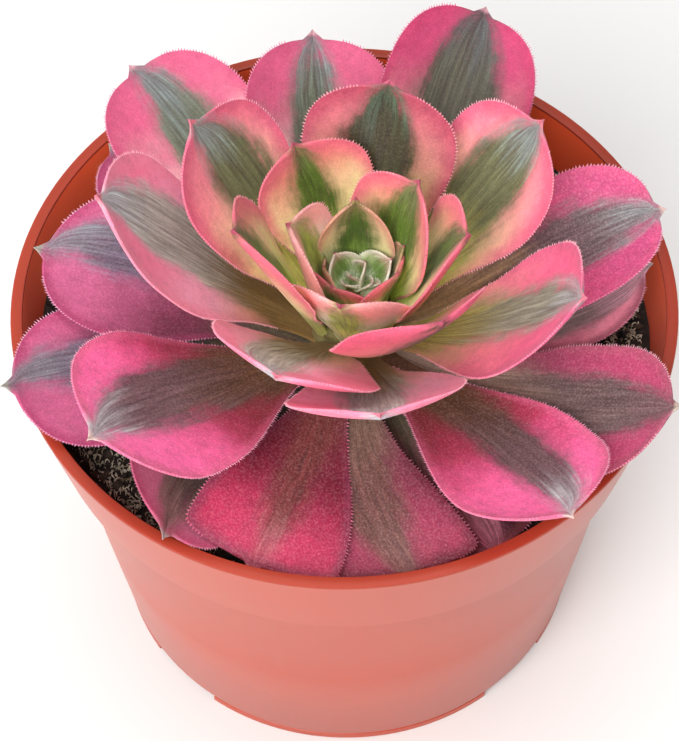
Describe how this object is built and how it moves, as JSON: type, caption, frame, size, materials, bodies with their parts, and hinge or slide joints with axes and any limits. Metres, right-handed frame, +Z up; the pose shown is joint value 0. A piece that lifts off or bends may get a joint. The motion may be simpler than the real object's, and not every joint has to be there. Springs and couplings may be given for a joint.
{
  "type": "potted aeonium",
  "caption": "Low rosette of broad pink and cream succulent leaves with a green heart, growing from soil in a round tapered plastic nursery pot with a deep collar.",
  "frame": {"origin": "on the ground, on the pot's axis, in the plane of the foot ring", "axes": "+Z up along the pot axis; -Y towards the viewer of the picture; +X to the right in the picture"},
  "size_m": [0.14, 0.14, 0.1472],
  "materials": {
    "pot": "satin terracotta-coloured moulded plastic",
    "soil": null,
    "stem": null,
    "heart": null,
    "outer_leaves": null,
    "inner_leaves": null
  },
  "bodies": {
    "root": {"pot": "pot", "soil": "soil", "stem": "stem", "heart": "heart", "leaf_01": "outer_leaves", "leaf_02": "outer_leaves", "leaf_03": "outer_leaves", "leaf_04": "outer_leaves", "leaf_05": "outer_leaves", "leaf_06": "outer_leaves", "leaf_07": "outer_leaves", "leaf_08": "outer_leaves", "leaf_09": "outer_leaves", "leaf_10": "outer_leaves", "leaf_11": "outer_leaves", "leaf_12": "outer_leaves", "leaf_13": "outer_leaves", "leaf_14": "outer_leaves", "leaf_15": "outer_leaves", "leaf_16": "inner_leaves", "leaf_17": "inner_leaves", "leaf_18": "inner_leaves", "leaf_19": "inner_leaves", "leaf_20": "inner_leaves", "leaf_21": "inner_leaves", "leaf_22": "inner_leaves", "leaf_23": "inner_leaves", "leaf_24": "inner_leaves", "leaf_25": "inner_leaves", "leaf_26": "inner_leaves", "leaf_27": "inner_leaves", "leaf_28": "inner_leaves", "leaf_29": "inner_leaves"}
  },
  "joints": []
}
